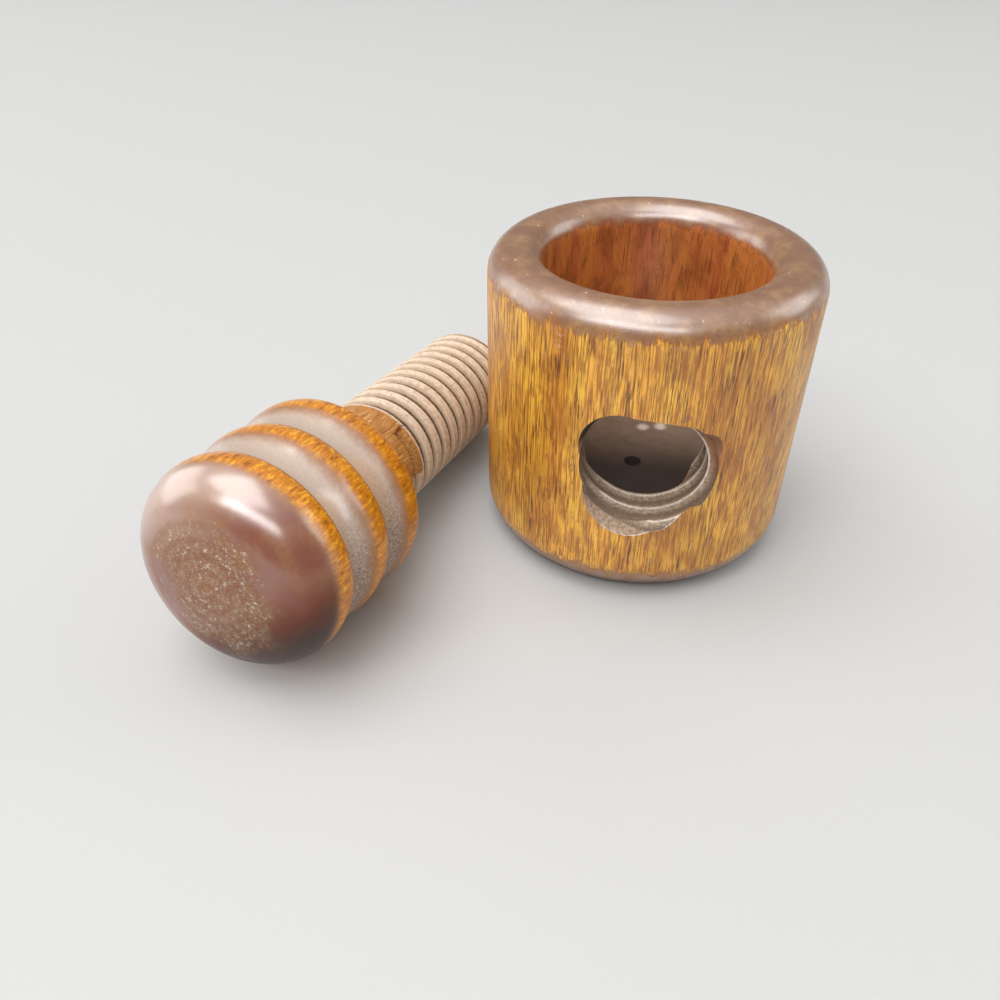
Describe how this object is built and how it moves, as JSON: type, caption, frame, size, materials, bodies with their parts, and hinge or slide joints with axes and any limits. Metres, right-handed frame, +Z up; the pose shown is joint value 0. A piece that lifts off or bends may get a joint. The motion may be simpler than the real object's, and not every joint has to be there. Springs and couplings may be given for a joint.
{
  "type": "wooden screw nutcracker",
  "caption": "Turned wooden cup with a threaded hole through its side, and a wooden screw with a beaded knob lying beside it.",
  "frame": {"origin": "middle of the cup's flat base, on the surface that everything stands on", "axes": "+Z up along the cup's axis, -Y towards the threaded hole, +X to the right seen from the hole's side"},
  "size_m": [0.1238, 0.1039, 0.063],
  "materials": {
    "varnished_wood": "gloss",
    "bare_wood": "matte",
    "knob_wood": "gloss"
  },
  "bodies": {
    "barrel": {"barrel": "varnished_wood"},
    "screw": {"screw_shaft": "bare_wood", "knob": "knob_wood"}
  },
  "joints": [
    {"name": "screw_lift", "type": "slide", "parent": "barrel", "child": "screw", "axis": [0, 0, 1], "range_m": [0, 0.09]}
  ]
}
